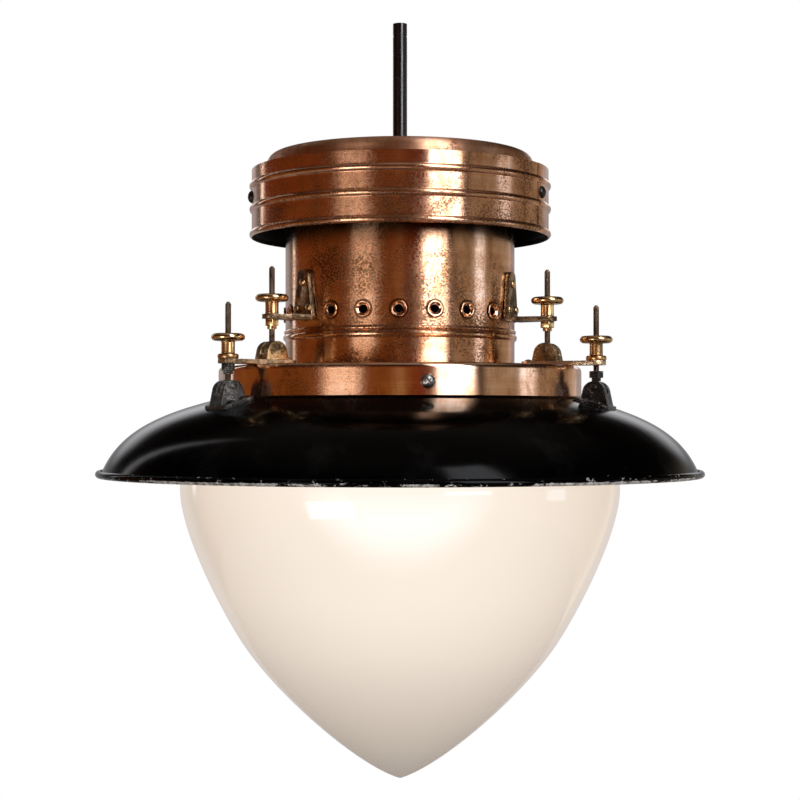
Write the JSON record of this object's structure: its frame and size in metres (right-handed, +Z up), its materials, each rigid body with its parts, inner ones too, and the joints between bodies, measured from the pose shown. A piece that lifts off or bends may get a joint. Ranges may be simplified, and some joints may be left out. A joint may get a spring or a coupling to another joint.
{
  "type": "gas lamp",
  "caption": "Hanging copper lamp with a beaded cap, vented chimney, brass levelling screws, flared black enamelled reflector and pointed opal glass globe.",
  "frame": {"origin": "centre of the stem's top end", "axes": "+Z up along the stem, -Y towards the front, X to the right seen from the front"},
  "size_m": [0.42, 0.42, 0.5274],
  "materials": {
    "black_stem": "gloss black",
    "steel": "dull zinc",
    "wire": "plain",
    "copper": "polished copper with old patina",
    "black_screw": "black",
    "aged_brass": "aged, cast",
    "bright_brass": "polished",
    "rough_brass": "rough cast",
    "rod_steel": "brownish, threaded",
    "porcelain": "glazed ceramic",
    "opal_glass": "opal, glossy",
    "clear_glass": "clear",
    "filament": "bright",
    "enamel": "gloss black vitreous enamel",
    "black_brass": "black, satin"
  },
  "bodies": {
    "fixed_part": {"stem_tube": "black_stem", "stem_nuts": "steel", "stem_washers": "steel", "lead_wires": "wire", "cap_lid": "copper", "cap_band": "copper", "cap_screws": "black_screw", "cap_screw_nuts": "steel", "cap_crossbar": "steel", "chimney_tube": "copper", "vent_eyelets": "copper", "chimney_crossbar": "steel", "chimney_rivets": "copper", "bracket_a": "aged_brass", "bracket_b": "aged_brass", "bracket_c": "aged_brass", "bracket_rivets": "aged_brass", "lampholder_cap": "porcelain", "lampholder_body": "porcelain", "lampholder_shell": "bright_brass", "lampholder_contact": "bright_brass", "bulb_glass": "clear_glass", "bulb_cap": "bright_brass", "bulb_filament": "filament"},
    "collar_group": {"collar": "copper", "strip_a": "rough_brass", "strip_b": "rough_brass", "strip_c": "rough_brass", "strip_rivets": "rough_brass", "glass_screw_nuts": "bright_brass", "inner_lug_a": "aged_brass", "inner_lug_b": "aged_brass", "inner_lug_c": "aged_brass", "inner_pins": "steel", "inner_rod_a": "rod_steel", "inner_rod_b": "rod_steel", "inner_rod_c": "rod_steel", "inner_collar_nuts": "bright_brass", "outer_washers": "bright_brass", "globe": "opal_glass"},
    "reflector_group": {"reflector": "enamel", "outer_lug_a": "black_brass", "outer_lug_b": "black_brass", "outer_lug_c": "black_brass", "outer_pins": "steel", "lug_rivets": "black_brass", "outer_rod_a": "rod_steel", "outer_rod_b": "rod_steel", "outer_rod_c": "rod_steel", "outer_collar_nuts": "black_brass"},
    "inner_thumb_nut_a": {"inner_thumb_nut_a": "bright_brass"},
    "inner_thumb_nut_b": {"inner_thumb_nut_b": "bright_brass"},
    "inner_thumb_nut_c": {"inner_thumb_nut_c": "bright_brass"},
    "outer_thumb_nut_a": {"outer_thumb_nut_a": "bright_brass"},
    "outer_thumb_nut_b": {"outer_thumb_nut_b": "bright_brass"},
    "outer_thumb_nut_c": {"outer_thumb_nut_c": "bright_brass"},
    "glass_screw_a": {"glass_screw_a": "black_screw"},
    "glass_screw_b": {"glass_screw_b": "black_screw"},
    "glass_screw_c": {"glass_screw_c": "black_screw"}
  },
  "joints": [
    {"name": "collar_slide", "type": "slide", "parent": "fixed_part", "child": "collar_group", "axis": [0, 0, -1], "range_m": [0, 0.015]},
    {"name": "reflector_slide", "type": "slide", "parent": "collar_group", "child": "reflector_group", "axis": [0, 0, -1], "range_m": [0, 0.015]},
    {"name": "inner_nut_turn_a", "type": "hinge", "parent": "fixed_part", "child": "inner_thumb_nut_a", "pos_m": [-0.0931, -0.05375, -0.204], "axis": [0, 0, 1], "range_deg": [0, 7720]},
    {"name": "inner_nut_turn_b", "type": "hinge", "parent": "fixed_part", "child": "inner_thumb_nut_b", "pos_m": [0.0931, -0.05375, -0.204], "axis": [0, 0, 1], "range_deg": [0, 7720]},
    {"name": "inner_nut_turn_c", "type": "hinge", "parent": "fixed_part", "child": "inner_thumb_nut_c", "pos_m": [0, 0.1075, -0.204], "axis": [0, 0, 1], "range_deg": [0, 7720]},
    {"name": "outer_nut_turn_a", "type": "hinge", "parent": "collar_group", "child": "outer_thumb_nut_a", "pos_m": [-0.12259, -0.07078, -0.229], "axis": [0, 0, 1], "range_deg": [0, 7720]},
    {"name": "outer_nut_turn_b", "type": "hinge", "parent": "collar_group", "child": "outer_thumb_nut_b", "pos_m": [0.12259, -0.07078, -0.229], "axis": [0, 0, 1], "range_deg": [0, 7720]},
    {"name": "outer_nut_turn_c", "type": "hinge", "parent": "collar_group", "child": "outer_thumb_nut_c", "pos_m": [0, 0.14155, -0.229], "axis": [0, 0, 1], "range_deg": [0, 7720]},
    {"name": "glass_screw_slide_a", "type": "slide", "parent": "collar_group", "child": "glass_screw_a", "axis": [0, -1, 0], "range_m": [0, 0.006]},
    {"name": "glass_screw_slide_b", "type": "slide", "parent": "collar_group", "child": "glass_screw_b", "axis": [0.866, 0.5, 0], "range_m": [0, 0.006]},
    {"name": "glass_screw_slide_c", "type": "slide", "parent": "collar_group", "child": "glass_screw_c", "axis": [-0.866, 0.5, 0], "range_m": [0, 0.006]}
  ],
  "couplings": [
    {"joint": "inner_nut_turn_a", "follows": "collar_slide", "rad_per_m": 8976},
    {"joint": "inner_nut_turn_b", "follows": "collar_slide", "rad_per_m": 8976},
    {"joint": "inner_nut_turn_c", "follows": "collar_slide", "rad_per_m": 8976},
    {"joint": "outer_nut_turn_a", "follows": "reflector_slide", "rad_per_m": 8976},
    {"joint": "outer_nut_turn_b", "follows": "reflector_slide", "rad_per_m": 8976},
    {"joint": "outer_nut_turn_c", "follows": "reflector_slide", "rad_per_m": 8976}
  ]
}
